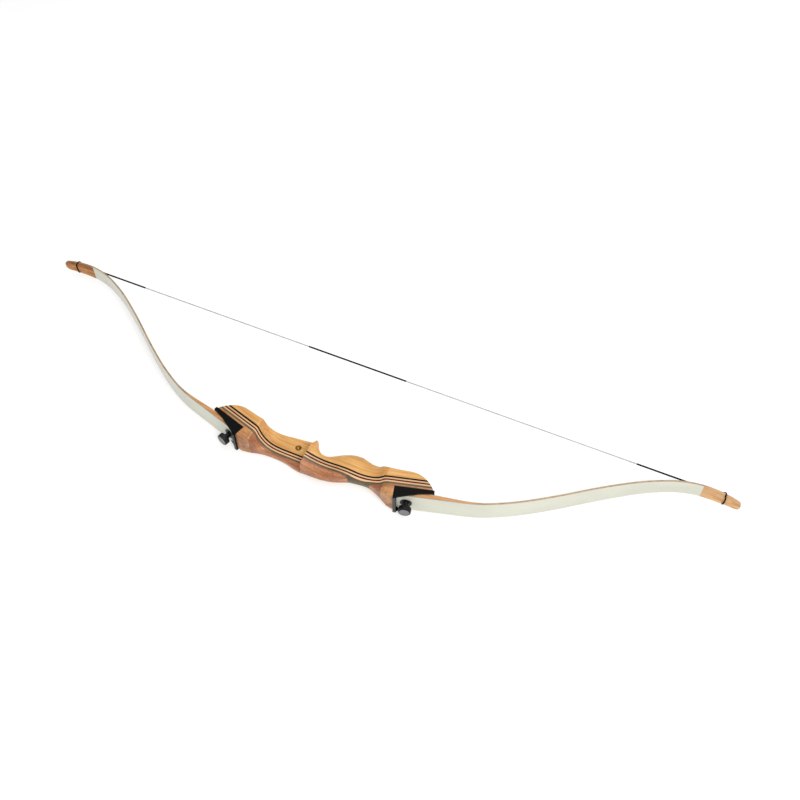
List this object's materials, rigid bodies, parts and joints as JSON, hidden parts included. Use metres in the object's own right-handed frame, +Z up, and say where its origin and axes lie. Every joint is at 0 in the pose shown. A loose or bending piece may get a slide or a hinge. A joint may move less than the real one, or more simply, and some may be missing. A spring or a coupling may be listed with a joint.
{
  "type": "takedown recurve bow",
  "caption": "Strung takedown recurve bow with a laminated wooden riser, clamped fibreglass-faced limbs, hand-turned limb bolts and a served string.",
  "frame": {"origin": "centre of the bow's bounding box at the surface it lies on, without the string", "axes": "+X along the bow from the upper limb to the lower limb, +Y towards the archer and the string, +Z up from the surface, which is the archer's left"},
  "size_m": [1.5306, 0.2905, 0.0515],
  "materials": {
    "maple": "satin lacquer",
    "black_veneer": "satin lacquer",
    "cream_veneer": "satin lacquer",
    "maroon_veneer": "satin lacquer",
    "olive_veneer": "satin lacquer",
    "hardwood": "satin lacquer",
    "pocket_black": "matte",
    "brass": "turned",
    "steel": "satin",
    "washer_black": "satin",
    "knob_black": "satin",
    "limb_glass": "glossy",
    "limb_wood": "satin lacquer",
    "reddish_overlay": "satin lacquer",
    "light_overlay": "satin lacquer",
    "string_strands": "waxed",
    "serving_thread": "waxed"
  },
  "bodies": {
    "bow": {"riser_maple_face": "maple", "riser_black_lamination": "black_veneer", "riser_belly_cream_lamination": "cream_veneer", "riser_maroon_lamination": "maroon_veneer", "riser_back_cream_lamination": "cream_veneer", "riser_olive_lamination": "olive_veneer", "riser_upper_hardwood_back": "hardwood", "riser_lower_hardwood_back": "hardwood", "upper_limb_pocket": "pocket_black", "lower_limb_pocket": "pocket_black", "upper_bolt_insert": "brass", "lower_bolt_insert": "brass", "upper_locating_pin": "steel", "lower_locating_pin": "steel", "plunger_bushing": "brass", "sight_bushings": "brass", "upper_limb_back_glass": "limb_glass", "upper_limb_core": "limb_wood", "upper_limb_wedge": "limb_wood", "upper_limb_belly_glass": "limb_glass", "upper_tip_overlay": "reddish_overlay", "lower_limb_back_glass": "limb_glass", "lower_limb_core": "limb_wood", "lower_limb_wedge": "limb_wood", "lower_limb_belly_glass": "limb_glass", "lower_tip_overlay": "light_overlay", "bowstring": "string_strands", "upper_end_serving": "serving_thread", "centre_serving": "serving_thread", "lower_end_serving": "serving_thread", "upper_string_loop": "serving_thread", "lower_string_loop": "serving_thread"},
    "upper_washer": {"upper_bolt_washer": "washer_black"},
    "upper_knob": {"upper_bolt_knob": "knob_black", "upper_limb_bolt": "steel"},
    "lower_washer": {"lower_bolt_washer": "washer_black"},
    "lower_knob": {"lower_bolt_knob": "knob_black", "lower_limb_bolt": "steel"}
  },
  "joints": [
    {"name": "upper_bolt_lift", "type": "slide", "parent": "bow", "child": "upper_washer", "axis": [-0.2756, -0.9613, 0], "range_m": [0, 0.0141]},
    {"name": "upper_bolt_turn", "type": "hinge", "parent": "upper_washer", "child": "upper_knob", "pos_m": [-0.18593, -0.10035, 0.02575], "axis": [-0.2756, -0.9613, 0], "range_deg": [0, 3600]},
    {"name": "lower_bolt_lift", "type": "slide", "parent": "bow", "child": "lower_washer", "axis": [0.2756, -0.9613, 0], "range_m": [0, 0.0141]},
    {"name": "lower_bolt_turn", "type": "hinge", "parent": "lower_washer", "child": "lower_knob", "pos_m": [0.18593, -0.10035, 0.02575], "axis": [0.2756, -0.9613, 0], "range_deg": [0, 3600]}
  ],
  "couplings": [
    {"joint": "upper_bolt_turn", "follows": "upper_bolt_lift", "rad_per_m": 4452.7},
    {"joint": "lower_bolt_turn", "follows": "lower_bolt_lift", "rad_per_m": 4452.7}
  ]
}
